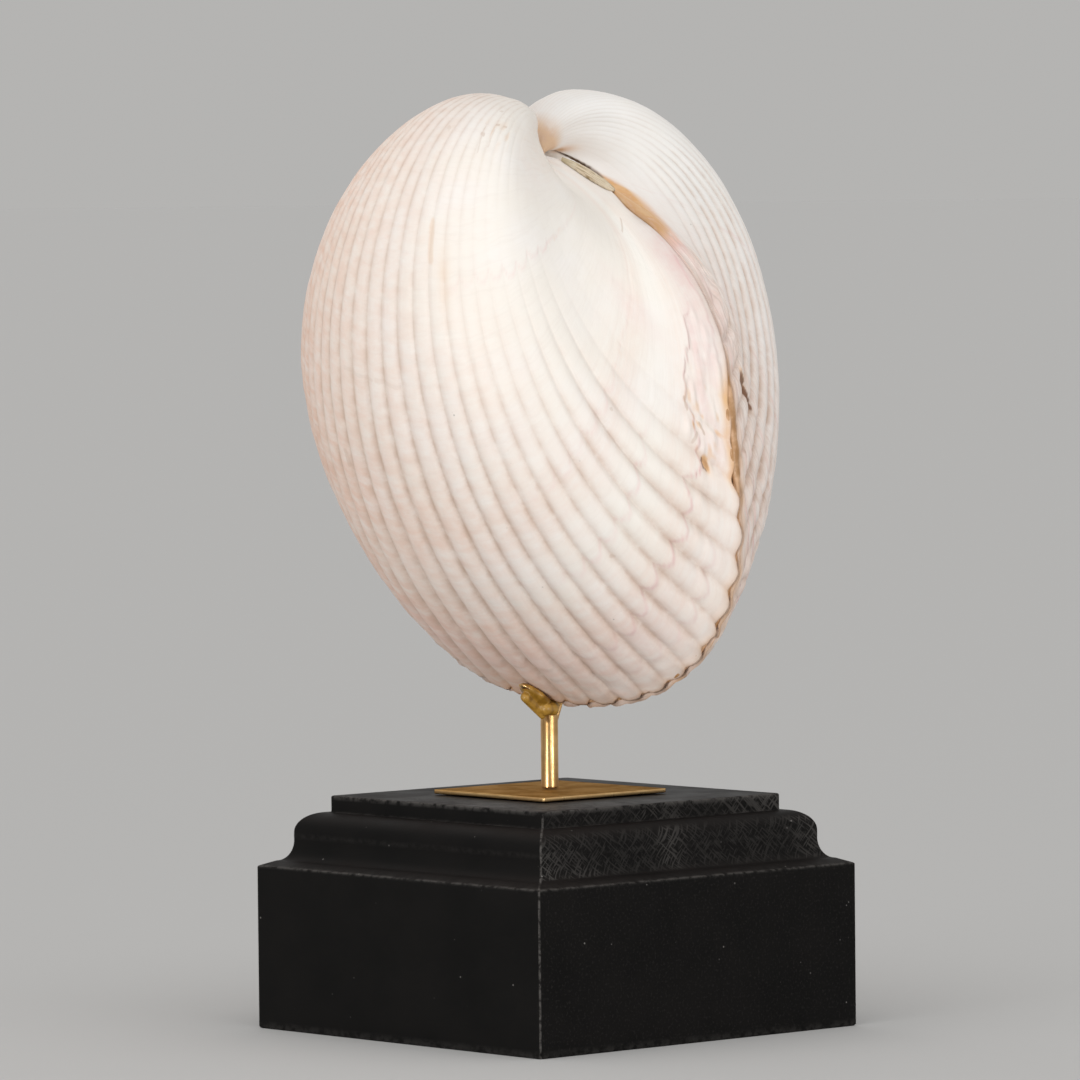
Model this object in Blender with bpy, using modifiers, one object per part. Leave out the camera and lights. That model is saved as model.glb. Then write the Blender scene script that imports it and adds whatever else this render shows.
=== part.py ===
"""A giant cockle shell, both valves closed, on a brass fork, a brass plate and a moulded wooden plinth.

Frame: metres, +Z up, origin at the centre of the plinth's underside, plinth sides along X and Y.
The shell's hinge points up and its posterior end, with the ligament, points along +X.
"""
import math

import bmesh
import bpy
import numpy as np
from mathutils import Matrix, Vector

MM = 0.001                      # every size below is in millimetres
CLEARANCE = 0.3                 # left between pieces that touch

# ---- plinth -------------------------------------------------------------------------------
PLINTH_HALF = 50.0              # half the side of the square block
BLOCK_TOP = 38.6
LEDGE_HALF, LEDGE_TOP = 46.8, 39.7
WAIST_HALF, WAIST_TOP = 43.8, 44.6
OVOLO_START, OVOLO_HALF, OVOLO_TOP = 46.4, 38.2, 51.1
FILLET_HALF, PLINTH_TOP = 37.5, 55.0
ARRIS = 0.5                     # rounding of the block's upper edge

# ---- brass plate and fork -----------------------------------------------------------------
PLATE_SIDE, PLATE_THICKNESS = 38.8, 1.0
PLATE_ARRIS = 0.15              # bevel of the plate's edges
ROD_X, ROD_Y = -0.7, -0.9       # the plate and rod stand a little off the plinth's centre
ROD_RADIUS = 2.05
ROD_SIDES = 24
ROD_TOP = 75.2
PRONG_ROOT = 71.2               # height at which each prong starts inside the rod
PRONG_TURNS = (0.016, 0.062)    # where the prongs meet the valves and end, as turns of the coil
PRONG_WIDTHS = (2.8, 4.4, 2.6)  # at the root, the middle and the tip
PRONG_THICKNESSES = (1.7, 1.4, 0.7)
PRONG_BEND = (0.15, 1.5)        # outward and up from the root to the next section
PRONG_LEAN = 1.5                # the tips stand this far forward of the root
PRONG_GAP = CLEARANCE + 0.1     # between a prong and its valve
PRONG_SECTIONS, PRONG_SIDES = 5, 12

# ---- shell: pose --------------------------------------------------------------------------
SHELL_CENTRE = (1.0, -2.8, 140.0)                      # centre of the margin, above the plinth
SHELL_YAW, SHELL_LEAN, SHELL_TILT = 5.2, 1.7, 5.6      # degrees about Z, X and Y

# ---- shell: margin, coiling and ribs ------------------------------------------------------
# Radius of the margin around its centre, every 30 degrees from the ventral edge (straight
# down) through the posterior end (90), the hinge (180) and the anterior end (270).
MARGIN_RADII = (63.3, 67.9, 69.6, 61.3, 61.3, 61.0, 65.2, 67.5, 70.2, 72.0, 65.9, 63.1)
AXIS_ALONG, AXIS_HEIGHT, AXIS_SIDE = -10.2, 65.5, 5.2  # coiling axis, from the margin's centre
GROWTH = (0.813, -0.083)        # final rate and early change of the spiral's radius
GROWTH_ALONG = (0.737, -0.173)  # the same for the length along the axis
GROWTH_SPAN = 1.5               # radians over which the early change dies away
COIL_END = 5.6                  # radians from the margin to the tip of the beak
RIB_PITCH = 9.2                 # along the margin
RIB_OFFSETS = (0.3, 0.8)        # place of a groove near the lowest point, left and right, in pitches
RIB_NARROWING = 0.2             # ribs are closer at the posterior ventral corner,
NARROW_AT, NARROW_SPAN = 48.0, 20.0                    # around this angle (degrees)
RIB_HEIGHT = 1.7
RIBS_FROM, RIBS_TO = -132.0, 138.0                     # angles between which ribs are raised
RIB_FADE = ((-132.0, -96.0, 72.0, 120.0), (0.3, 1.0, 1.0, 0.3))  # height of the ribs by angle
SHOULDER, SHOULDER_TURN = 3.5, 0.15                    # fullness beside the hinge line, and where
SHOULDER_ANGLE, SHOULDER_SPAN = 45.0, 32.0             # either side of the hinge (degrees)
SEAM_WAVE = 0.8                 # sideways zigzag of the interlocking margins
WAVE_FADE = ((-125.0, -100.0, 85.0, 108.0), (0.0, 1.0, 1.0, 0.0))  # and its share by angle
SEAM_GAP = 0.24                 # from the plane between the valves to each margin
SMOOTH_COLUMNS = 13             # round the ribless hinge side
COIL_ROWS, CAVITY_ROWS = 20, 6
ROW_SPREAD = 1.35               # above 1 the rows crowd towards the margin
THINNED_FROM = 2.8              # radians beyond which the ribs have no columns of their own
WALL = 4.2                      # wall thickness, in the plane of the margin
CAVITY_END = 2.2                # radians at which the hollow closes under the umbo
CAVITY_SEAM = 0.8               # the wall thins towards its inner edge by this much

# ---- ligament -----------------------------------------------------------------------------
LIGAMENT_FROM, LIGAMENT_TO = 178.5, 162.5              # angles round the margin
LIGAMENT_REACH = (-0.09, 0.03)                         # turns up the left and the right valve
LIGAMENT_GAP, LIGAMENT_RISE = 0.35, 0.85               # its underside and its crown, off the valves
LIGAMENT_ENDS = 0.3                                    # share of the reach that is left at the ends
LIGAMENT_SECTIONS = 10


def remove_everything():
    for item in list(bpy.context.scene.objects):
        bpy.data.objects.remove(item, do_unlink=True)


def material(name, colour, roughness, metallic=0.0):
    made = bpy.data.materials.new(name)
    made.use_nodes = True
    shader = made.node_tree.nodes["Principled BSDF"]
    shader.inputs["Base Color"].default_value = (*colour, 1.0)
    shader.inputs["Roughness"].default_value = roughness
    shader.inputs["Metallic"].default_value = metallic
    return made


def place(name, mesh, finish, collection):
    piece = bpy.data.objects.new(name, mesh)
    piece.data.materials.append(finish)
    collection.objects.link(piece)
    return piece


# ---- plinth -------------------------------------------------------------------------------
def quarter(start, end, bulge, steps):
    """Points of a quarter ellipse from start to end; bulge True swells, False hollows."""
    points = []
    for i in range(steps + 1):
        turn = math.pi / 2 * i / steps
        if bulge:
            across, up = math.cos(turn), math.sin(turn)
        else:
            across, up = 1 - math.sin(turn), 1 - math.cos(turn)
        points.append((end[0] + (start[0] - end[0]) * across, start[1] + (end[1] - start[1]) * up))
    return points


def plinth_profile():
    """Half width and height up the moulding, from the underside to the top."""
    outline = [(0.0, 0.0), (PLINTH_HALF, 0.0)]
    outline += [(PLINTH_HALF, BLOCK_TOP - ARRIS), (PLINTH_HALF - ARRIS, BLOCK_TOP)]
    outline += quarter((LEDGE_HALF, LEDGE_TOP), (WAIST_HALF, WAIST_TOP), False, 4)
    outline += quarter((WAIST_HALF, OVOLO_START), (OVOLO_HALF, OVOLO_TOP), True, 6)
    outline += [(FILLET_HALF, OVOLO_TOP), (FILLET_HALF, PLINTH_TOP), (0.0, PLINTH_TOP)]
    return outline


def make_plinth(finish, collection):
    corner = math.sqrt(2) * MM                         # the profile is swept along the diagonal
    points = [(half * corner, 0.0, height * MM) for half, height in reversed(plinth_profile())]
    mesh = bpy.data.meshes.new("wooden_plinth")
    mesh.from_pydata(points, [(i, i + 1) for i in range(len(points) - 1)], [])
    plinth = place("wooden_plinth", mesh, finish, collection)
    plinth.rotation_euler.z = math.radians(45)
    sweep = plinth.modifiers.new("four_sides", "SCREW")
    sweep.steps = 4
    sweep.render_steps = 4
    sweep.use_merge_vertices = True
    sweep.merge_threshold = 0.00001
    return plinth


# ---- brass --------------------------------------------------------------------------------
def make_plate(finish, collection):
    bottom = PLINTH_TOP + CLEARANCE
    bpy.ops.mesh.primitive_cube_add(size=1)
    plate = bpy.context.object
    plate.name = "brass_plate"
    plate.data.transform(Matrix.Diagonal((PLATE_SIDE * MM, PLATE_SIDE * MM, PLATE_THICKNESS * MM, 1)))
    plate.location = (ROD_X * MM, ROD_Y * MM, (bottom + PLATE_THICKNESS / 2) * MM)
    edge = plate.modifiers.new("edge", "BEVEL")
    edge.width = PLATE_ARRIS * MM
    edge.segments = 1
    plate.data.materials.append(finish)
    for owner in plate.users_collection:
        owner.objects.unlink(plate)
    collection.objects.link(plate)
    return plate


def shell_pose():
    """Placement of the shell's own frame: along +X, the right valve towards +Y."""
    turned = (Matrix.Rotation(math.radians(angle), 4, axis)
              for angle, axis in ((SHELL_YAW, "Z"), (SHELL_LEAN, "X"), (SHELL_TILT, "Y")))
    place_at = Matrix.Translation(Vector(SHELL_CENTRE) * MM)
    for step in turned:
        place_at = place_at @ step
    return place_at


def loft(name, rings):
    """A closed mesh through rings of equal count, capped at both ends."""
    work = bmesh.new()
    rows = [[work.verts.new(point) for point in ring] for ring in rings]
    for first, second in zip(rows[:-1], rows[1:]):
        for i, vertex in enumerate(first):
            j = (i + 1) % len(first)
            work.faces.new((vertex, first[j], second[j], second[i]))
    work.faces.new(rows[0])
    work.faces.new(rows[-1])
    bmesh.ops.recalc_face_normals(work, faces=work.faces)
    mesh = bpy.data.meshes.new(name)
    work.to_mesh(mesh)
    work.free()
    return mesh


def blend(values, share):
    """A value from the first through the second to the third as share goes from 0 to 1."""
    return float(np.interp(share, (0.0, 0.5, 1.0), values))


def prong_rings(side):
    """Sections of one prong: out of the rod and up along the underside of one valve."""
    pose = shell_pose()
    root = pose.inverted() @ Vector((ROD_X * MM, ROD_Y * MM, PRONG_ROOT * MM)) / MM
    start = side * root.y + ROD_RADIUS / 2
    route = [(root.x, start, root.z), (root.x, start + PRONG_BEND[0], root.z + PRONG_BEND[1])]
    for i in range(PRONG_SECTIONS + 1):
        share = i / PRONG_SECTIONS
        turn = PRONG_TURNS[0] + (PRONG_TURNS[1] - PRONG_TURNS[0]) * share
        angle = math.asin((root.x - PRONG_LEAN * share) / MARGIN_RADII[0])
        point = shell_point(np.array(angle), turn)
        ahead = shell_point(np.array(angle), turn + 0.01) - point
        outward, height = -ahead[2], ahead[1]          # square to the coil, away from the valve
        scale = 1 / math.hypot(outward, height)
        gap = PRONG_GAP + blend(PRONG_THICKNESSES, share) / 2
        route.append((point[0], point[1] - outward * scale * gap, point[2] - height * scale * gap))
    rings = []
    for n, (along, outward, height) in enumerate(route):
        before, after = route[max(n - 1, 0)], route[min(n + 1, len(route) - 1)]
        slope = math.atan2(after[1] - before[1], after[2] - before[2])
        share = n / (len(route) - 1)
        wide, thick = blend(PRONG_WIDTHS, share) / 2, blend(PRONG_THICKNESSES, share) / 2
        ring = []
        for k in range(PRONG_SIDES):
            across = wide * math.cos(2 * math.pi * k / PRONG_SIDES)
            off = thick * math.sin(2 * math.pi * k / PRONG_SIDES)
            ring.append(pose @ (Vector((along + across, side * (outward + off * math.cos(slope)),
                                        height - off * math.sin(slope))) * MM))
        rings.append(ring)
    return rings


def make_rod(finish, collection, cutters):
    """The rod with both prongs, one piece of brass."""
    foot = PLINTH_TOP + PLATE_THICKNESS + 2 * CLEARANCE
    bpy.ops.mesh.primitive_cylinder_add(vertices=ROD_SIDES, radius=ROD_RADIUS * MM,
                                        depth=(ROD_TOP - foot) * MM)
    rod = bpy.context.object
    rod.name = "support_rod"
    rod.location = (ROD_X * MM, ROD_Y * MM, (ROD_TOP + foot) / 2 * MM)
    rod.data.materials.append(finish)
    for owner in rod.users_collection:
        owner.objects.unlink(rod)
    collection.objects.link(rod)
    for side, name in ((-1, "left_prong"), (1, "right_prong")):
        prong = place(name, loft(name, prong_rings(side)), finish, cutters)
        prong.hide_render = True
        prong.display_type = "WIRE"
        join = rod.modifiers.new(name, "BOOLEAN")
        join.operation = "UNION"
        join.solver = "EXACT"
        join.object = prong
    return rod


# ---- shell --------------------------------------------------------------------------------
def margin_radius(angle):
    """Radius of the margin at an angle, a smooth closed curve through MARGIN_RADII."""
    count = len(MARGIN_RADII)
    wave = np.fft.rfft(MARGIN_RADII) / count
    radius = np.full_like(angle, wave[0].real)
    for n in range(1, count // 2):
        radius = radius + 2 * (wave[n].real * np.cos(n * angle) - wave[n].imag * np.sin(n * angle))
    return radius + wave[count // 2].real * np.cos(count // 2 * angle)


def growth_scale(turn, law):
    """Size of the shell at an earlier stage of growth, as a share of its final size."""
    early = GROWTH_SPAN * (1 - np.exp(-turn / GROWTH_SPAN))
    return np.exp(-(law[0] * turn + law[1] * early))


def shell_point(angle, turn, raised=0.0, seam=0.0):
    """A point of a valve: along, outward and height from the margin's centre (mm).

    The angle goes round the margin and the turn goes back along the coil to the beak.
    raised moves the point off the smooth surface, and seam moves the margin sideways.
    """
    radius = margin_radius(angle) + raised
    along = radius * np.sin(angle)
    drop = -radius * np.cos(angle) - AXIS_HEIGHT
    size = growth_scale(turn, GROWTH)
    length = growth_scale(turn, GROWTH_ALONG)
    outward = AXIS_SIDE - size * ((AXIS_SIDE - seam) * np.cos(turn) + drop * np.sin(turn))
    from_hinge = np.degrees(math.pi - np.abs((angle + math.pi) % (2 * math.pi) - math.pi))
    beside = np.exp(-((from_hinge - SHOULDER_ANGLE) / SHOULDER_SPAN) ** 2)
    swell = turn / SHOULDER_TURN
    outward = outward + SHOULDER * beside * swell * np.exp(1 - swell)
    height = AXIS_HEIGHT + size * (drop * np.cos(turn) - AXIS_SIDE * np.sin(turn))
    return np.stack([AXIS_ALONG + length * (along - AXIS_ALONG), outward, height], axis=-1)


def rib_angles(offset):
    """Angles of the grooves, with ribs of even pitch along the margin.

    The offsets of the two valves differ by half a pitch, so that ribs face grooves.
    """
    angle = np.linspace(-math.pi, math.pi, 3601)
    along, _, height = shell_point(angle, 0 * angle).T
    step = np.hypot(np.diff(along), np.diff(height))
    middle = np.degrees((angle[1:] + angle[:-1]) / 2)
    narrow = 1 - RIB_NARROWING * np.exp(-((middle - NARROW_AT) / NARROW_SPAN) ** 2)
    phase = np.concatenate([[0], np.cumsum(step / (RIB_PITCH * narrow))])
    phase -= np.interp(0.0, angle, phase)
    first = math.ceil(np.interp(math.radians(RIBS_FROM), angle, phase))
    last = math.floor(np.interp(math.radians(RIBS_TO), angle, phase))
    return np.interp(np.arange(first, last + 1) + offset, phase, angle)


def share_at(angle, fade):
    """The share that a table of angles in degrees and shares gives at an angle."""
    return float(np.interp(np.degrees(angle), *fade))


def margin_columns(offset):
    """Columns round a valve: angle, depth below the rib tops, seam shift and whether it is a groove."""
    grooves = rib_angles(offset)
    columns = []
    for start, end in zip(grooves[:-1], grooves[1:]):
        wave = SEAM_WAVE * share_at(start, WAVE_FADE)
        columns.append((start, RIB_HEIGHT * share_at(start, RIB_FADE), wave, True))
        columns.append((start + (end - start) / 3, 0.0, -wave / 2, False))
        columns.append((start + (end - start) * 2 / 3, 0.0, -wave / 2, False))
    span = grooves[0] + 2 * math.pi - grooves[-1]
    for i in range(SMOOTH_COLUMNS):
        columns.append((grooves[-1] + span * i / SMOOTH_COLUMNS, 0.0, 0.0, True))
    return columns


def valve_rows(columns):
    """Rings of points of the outside, from the margin to the beak, and of the cavity."""
    angle, depth, seam, keep = (np.array(values) for values in zip(*columns))
    keep = keep.astype(bool)
    outside = []
    for row in range(COIL_ROWS + 1):
        turn = COIL_END * (row / COIL_ROWS) ** ROW_SPREAD
        ring = shell_point(angle, turn, -depth, seam)
        ring[:, 1] += SEAM_GAP
        outside.append(ring if turn < THINNED_FROM else ring[keep])
    cavity = []
    for row in range(CAVITY_ROWS + 1):
        turn = CAVITY_END * row / CAVITY_ROWS
        ring = shell_point(angle[keep], turn, -WALL / growth_scale(turn, GROWTH), CAVITY_SEAM)
        ring[:, 1] += SEAM_GAP
        cavity.append(ring)
    return outside, cavity, keep


def join_rings(first, second, faces, keep=None):
    """Faces between two rings of vertex numbers; the second may skip the columns not kept."""
    count = len(first)
    if len(second) == count:
        for i in range(count):
            j = (i + 1) % count
            faces.append((first[i], first[j], second[j], second[i]))
        return
    kept = np.flatnonzero(keep)
    for n, start in enumerate(kept):
        end = kept[(n + 1) % len(kept)]
        here, there = second[n], second[(n + 1) % len(kept)]
        run = [start]
        while run[-1] != end:
            run.append((run[-1] + 1) % count)
        half = len(run) // 2
        for a, b in zip(run[:half], run[1:half + 1]):
            faces.append((first[a], first[b], here))
        faces.append((here, first[run[half]], there))
        for a, b in zip(run[half:-1], run[half + 1:]):
            faces.append((first[a], first[b], there))


def make_valve(name, side, offset, finish, collection, pose):
    """One hollow valve; side is -1 for the left valve (towards -Y) and 1 for the right one."""
    outside, cavity, keep = valve_rows(margin_columns(offset))
    points, faces, rings = [], [], []
    for ring in outside + cavity:
        rings.append(list(range(len(points), len(points) + len(ring))))
        points.extend(ring)
    outer, inner = rings[:len(outside)], rings[len(outside):]
    for rows in (outer, inner):
        for first, second in zip(rows[:-1], rows[1:]):
            join_rings(first, second, faces, keep)
        tip = len(points)
        points.append(np.mean([points[i] for i in rows[-1]], axis=0))
        for i, vertex in enumerate(rows[-1]):
            faces.append((vertex, rows[-1][(i + 1) % len(rows[-1])], tip))
    join_rings(outer[0], inner[0], faces, keep)
    shape = [(x * MM, side * y * MM, z * MM) for x, y, z in points]
    mesh = bpy.data.meshes.new(name)
    mesh.from_pydata(shape, [], faces)
    work = bmesh.new()
    work.from_mesh(mesh)
    bmesh.ops.triangulate(work, faces=work.faces)
    bmesh.ops.recalc_face_normals(work, faces=work.faces)
    work.to_mesh(mesh)
    work.free()
    mesh.shade_smooth()
    mesh.set_sharp_from_angle(angle=math.radians(40))
    valve = place(name, mesh, finish, collection)
    valve.parent = pose
    return valve


def make_ligament(finish, collection, pose):
    """The dried ligament, a low strip in the groove behind the beaks, mostly on the left valve."""
    left, right = LIGAMENT_REACH
    crown = (LIGAMENT_GAP + LIGAMENT_RISE) / 2
    section = ((left, LIGAMENT_GAP), (left / 3, LIGAMENT_GAP), (0.0, LIGAMENT_GAP), (right, LIGAMENT_GAP),
               (right, crown), (0.0, LIGAMENT_RISE), (left / 2, LIGAMENT_RISE), (left, crown))
    rings = []
    for n in range(LIGAMENT_SECTIONS + 1):
        share = n / LIGAMENT_SECTIONS
        angle = np.array(math.radians(LIGAMENT_FROM + (LIGAMENT_TO - LIGAMENT_FROM) * share))
        reach = LIGAMENT_ENDS + (1 - LIGAMENT_ENDS) * math.sin(math.pi * share)
        ring = []
        for turn, raised in section:
            along, outward, height = shell_point(angle, abs(turn) * reach, raised)
            ring.append(Vector((along, math.copysign(outward, turn), height)) * MM)
        rings.append(ring)
    ligament = place("ligament", loft("ligament", rings), finish, collection)
    ligament.parent = pose
    return ligament


def main():
    remove_everything()
    parts = bpy.data.collections.new("mounted_cockle_shell")
    cutters = bpy.data.collections.new("cutters")
    for group in (parts, cutters):
        bpy.context.scene.collection.children.link(group)
    black = material("black_wood", (0.012, 0.011, 0.010), 0.6)
    brass = material("satin_brass", (0.75, 0.52, 0.22), 0.32, 1.0)
    shell = material("shell_white", (0.82, 0.74, 0.68), 0.55)
    horn = material("dried_ligament", (0.42, 0.27, 0.12), 0.6)
    make_plinth(black, parts)
    make_plate(brass, parts)
    make_rod(brass, parts, cutters)
    pose = bpy.data.objects.new("shell_pose", None)
    bpy.context.scene.collection.objects.link(pose)
    pose.matrix_world = shell_pose()
    make_valve("left_valve", -1, RIB_OFFSETS[0], shell, parts, pose)
    make_valve("right_valve", 1, RIB_OFFSETS[1], shell, parts, pose)
    make_ligament(horn, parts, pose)


main()
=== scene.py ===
"""Looks of a giant cockle shell mounted on a brass fork, a brass plate and a black wooden plinth.

Sizes below are in millimetres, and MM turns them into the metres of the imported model's frame. The
shell's own frame has its origin at the centre of the margin, with x towards the hind end, y towards
the right valve and z towards the hinge.
"""
import functools
import math

import bmesh
import bpy
import numpy as np
from mathutils import Matrix, Vector


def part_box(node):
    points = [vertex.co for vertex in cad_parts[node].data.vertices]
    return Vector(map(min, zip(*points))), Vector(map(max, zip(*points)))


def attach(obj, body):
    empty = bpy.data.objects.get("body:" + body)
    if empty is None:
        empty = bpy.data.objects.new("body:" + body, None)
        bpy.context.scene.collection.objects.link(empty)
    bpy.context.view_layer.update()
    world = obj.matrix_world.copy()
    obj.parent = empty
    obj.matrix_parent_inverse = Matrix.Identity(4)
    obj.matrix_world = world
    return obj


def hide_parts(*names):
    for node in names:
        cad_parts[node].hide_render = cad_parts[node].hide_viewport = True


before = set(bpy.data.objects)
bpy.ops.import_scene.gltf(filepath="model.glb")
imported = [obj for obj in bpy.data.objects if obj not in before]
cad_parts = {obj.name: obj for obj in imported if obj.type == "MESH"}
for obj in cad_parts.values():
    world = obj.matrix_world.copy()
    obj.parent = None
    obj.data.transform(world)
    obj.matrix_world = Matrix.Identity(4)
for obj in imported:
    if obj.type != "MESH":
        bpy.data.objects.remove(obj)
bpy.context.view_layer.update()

MM = 0.001

# ---- shell: pose and form, as in the solids ----
SHELL_CENTRE = (1, -2.8, 140)
SHELL_YAW, SHELL_LEAN, SHELL_TILT = 5.2, 1.7, 5.6
MARGIN_RADII = (63.3, 67.9, 69.6, 61.3, 61.3, 61, 65.2, 67.5, 70.2, 72, 65.9, 63.1)
AXIS_ALONG, AXIS_HEIGHT, AXIS_SIDE = -10.2, 65.5, 5.2
GROWTH = (0.813, -0.083)
GROWTH_ALONG = (0.737, -0.173)
GROWTH_SPAN = 1.5
COIL_END = 5.6
RIB_PITCH = 9.2
RIB_OFFSETS = {"left": 0.3, "right": 0.8}
RIB_NARROWING = 0.2
NARROW_AT, NARROW_SPAN = 48, 20
RIB_HEIGHT = 1.7
RIBS_FROM, RIBS_TO = -132, 138
RIB_FADE = ((-132, -96, 72, 120), (0.3, 1, 1, 0.3))
SHOULDER, SHOULDER_TURN = 3.5, 0.15
SHOULDER_ANGLE, SHOULDER_SPAN = 45, 32
WAVE_FADE = ((-125, -100, 85, 108), (0, 1, 1, 0))
SEAM_GAP = 0.24
WALL = 4.2

# ---- shell: fine surface ----
SIDES = {"left": -1, "right": 1}
SEEDS = {"left": 11, "right": 47}
RIB_COLUMNS = (0, 0.045, 0.1, 0.19, 0.32, 0.5, 0.68, 0.81, 0.9, 0.955)
SMOOTH_COLUMNS = 84  # columns over the ribless hinge side
FINE_ROWS, FINE_STEP = 66, 0.42  # rows next to the margin, mm apart
ROW_STEP = 0.95  # the other rows
HOLLOW_ROWS, HOLLOW_END = 7, 2.2  # coarse rows of the hollow, and the turn that it reaches
CREST_DROP = 0.38  # the crests lie this far under the solids' facets,
OUTWARD_SHARE = 0.986  # and the sides of the valves this much closer in
CROWN = 0.42  # share of a rib's height that is its rounded crown
RIB_SHARE = 0.78  # of the height that the ribs have in the solids
SEAM_WAVE = 0.75  # half the depth of the interlocking lobes
SEAM_LAP, LAP_AT = 1.9, (155.5, 6)  # bend of the seam towards the left valve, at this angle and span
LOW_LAP = 1.9  # how far the right margin shows below the left one, low on the hind side
CHIP = 1.7  # depth of the chipped stretch of the left margin
HINGE_GAP = 0.5  # how far the right valve gapes beside the ligament
COIL_RADIUS = 128.8  # from the coiling axis to the ventral margin
PIT = (85.3, 12.4)  # a small hole in the crumbled part of the left valve: angle, distance
# lumps on that part: angle, distance from the margin, height, size both ways
LUMPS = ((90.6, 20, 0.6, 1.5, 1.7), (88.2, 13.6, 0.45, 1.1, 1.2), (77.5, 14.5, 0.3, 1.5, 1.6),
         (121, 9, 0.3, 3, 1.6), (117, 6.2, 0.3, 3, 1.4), (106, 13, 0.35, 4, 1.6),
         (108, 3.8, 0.35, 4, 1.4), (98, 8, 0.3, 2, 1.6), (93, 9.5, 0.35, 1.4, 1.6),
         (101, 17.5, 0.25, 2.5, 1.2))


# ---- helpers ----
def smooth(low, high, value):
    """0 below low, 1 above high and a smooth rise between them."""
    share = np.clip((value - low) / (high - low), 0, 1)
    return share * share * (3 - 2 * share)


class Noise:
    """Smooth value noise between -1 and 1, on a lattice that repeats itself."""

    size = 64

    def __init__(self, seed):
        self.table = np.random.default_rng(seed).uniform(-1, 1, (self.size, self.size))

    def __call__(self, x, y):
        x, y = np.broadcast_arrays(x, y)
        i, j = np.floor(x).astype(int), np.floor(y).astype(int)
        u, v = smooth(0, 1, x - i), smooth(0, 1, y - j)
        corners = [self.table[(i + a) % self.size, (j + b) % self.size] for b in (0, 1) for a in (0, 1)]
        low = corners[0] * (1 - u) + corners[1] * u
        high = corners[2] * (1 - u) + corners[3] * u
        return low * (1 - v) + high * v


CHIPS = Noise(61)


def within(value, start, full, fading, gone):
    """1 from full to fading, 0 before start and after gone, smooth between them."""
    return smooth(start, full, value) * (1 - smooth(fading, gone, value))


def bump(value, centre, width):
    """A bell curve, 1 at the centre."""
    return np.exp(-((value - centre) / width) ** 2)


def circle(count):
    """Even angles round a full turn."""
    return np.linspace(0, 2 * math.pi, count, endpoint=False)


def link(name, data):
    """A new object in the scene."""
    added = bpy.data.objects.new(name, data)
    bpy.context.scene.collection.objects.link(added)
    return added


def add_piece(name, mesh, finish, stands_for=None):
    """Link a mesh as a piece of the object, with its material, under the root body, hiding the part it stands
    for.
    """
    piece = link(name, mesh)
    mesh.materials.append(finish)
    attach(piece, "root")
    if stands_for:
        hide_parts(stands_for)
    return piece


def mesh_of(name, points, faces):
    """A smooth-shaded mesh, facing outward, from an array of points in metres and its faces."""
    mesh = bpy.data.meshes.new(name)
    mesh.from_pydata(points.tolist(), [], faces)
    mesh.shade_smooth()
    mesh.validate()
    mesh.update()
    work = bmesh.new()
    work.from_mesh(mesh)
    bmesh.ops.recalc_face_normals(work, faces=work.faces)
    work.to_mesh(mesh)
    work.free()
    return mesh


def quads_between(here, there):
    """Quads that join rings of point numbers to the next ones."""
    return np.stack([here, np.roll(here, -1, -1), np.roll(there, -1, -1), there], -1).reshape(-1, 4).tolist()


def loft(rings):
    """Points and faces of a closed tube through rings of equal count."""
    points = np.concatenate(rings)
    grid = np.arange(len(points)).reshape(len(rings), -1)
    return points, quads_between(grid[:-1], grid[1:]) + grid[[0, -1]].tolist()


def put_attribute(mesh, name, values):
    layer = mesh.attributes.new(name, "FLOAT", "POINT")
    layer.data.foreach_set("value", np.asarray(values, np.float32))


def baked(thing):
    """The mesh of an object with its modifiers carried out."""
    bpy.context.view_layer.update()
    return bpy.data.meshes.new_from_object(thing.evaluated_get(bpy.context.evaluated_depsgraph_get()))


# ---- shell form ----
def shell_pose():
    place_at = Matrix.Translation(Vector(SHELL_CENTRE) * MM)
    for angle, axis in ((SHELL_YAW, "Z"), (SHELL_LEAN, "X"), (SHELL_TILT, "Y")):
        place_at = place_at @ Matrix.Rotation(math.radians(angle), 4, axis)
    return place_at


POSE = np.array(shell_pose())


def to_frame(points):
    """Points in the shell's own frame, in mm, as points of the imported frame, in metres."""
    return (points * MM) @ POSE[:3, :3].T + POSE[:3, 3]


def shell_ring(along, outward, height):
    """A ring of points, given in the shell's own frame."""
    return to_frame(np.stack([along, outward, height], axis=-1))


def margin_radius(angle):
    """Radius of the margin: the smoothest wave through MARGIN_RADII, which stand at even angles."""
    half = len(MARGIN_RADII) // 2
    wave = np.fft.rfft(MARGIN_RADII) / len(MARGIN_RADII)
    return sum((2 if 0 < n < half else 1) * (wave[n] * np.exp(1j * n * angle)).real for n in range(half + 1))


def growth_scale(turn, law):
    early = GROWTH_SPAN * (1 - np.exp(-turn / GROWTH_SPAN))
    return np.exp(-(law[0] * turn + law[1] * early))


def shell_point(angle, turn, raised=0.0, seam=0.0):
    """A point of a valve: along, outward and height from the margin's centre (mm)."""
    radius = margin_radius(angle) + raised
    along = radius * np.sin(angle)
    drop = -radius * np.cos(angle) - AXIS_HEIGHT
    size = growth_scale(turn, GROWTH)
    length = growth_scale(turn, GROWTH_ALONG)
    outward = AXIS_SIDE - size * ((AXIS_SIDE - seam) * np.cos(turn) + drop * np.sin(turn))
    from_hinge = np.degrees(math.pi - np.abs((angle + math.pi) % (2 * math.pi) - math.pi))
    swell = turn / SHOULDER_TURN
    beside = bump(from_hinge, SHOULDER_ANGLE, SHOULDER_SPAN)
    outward = outward + SHOULDER * beside * swell * np.exp(1 - swell)
    height = AXIS_HEIGHT + size * (drop * np.cos(turn) - AXIS_SIDE * np.sin(turn))
    return np.stack([AXIS_ALONG + length * (along - AXIS_ALONG), outward, height], axis=-1)


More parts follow.
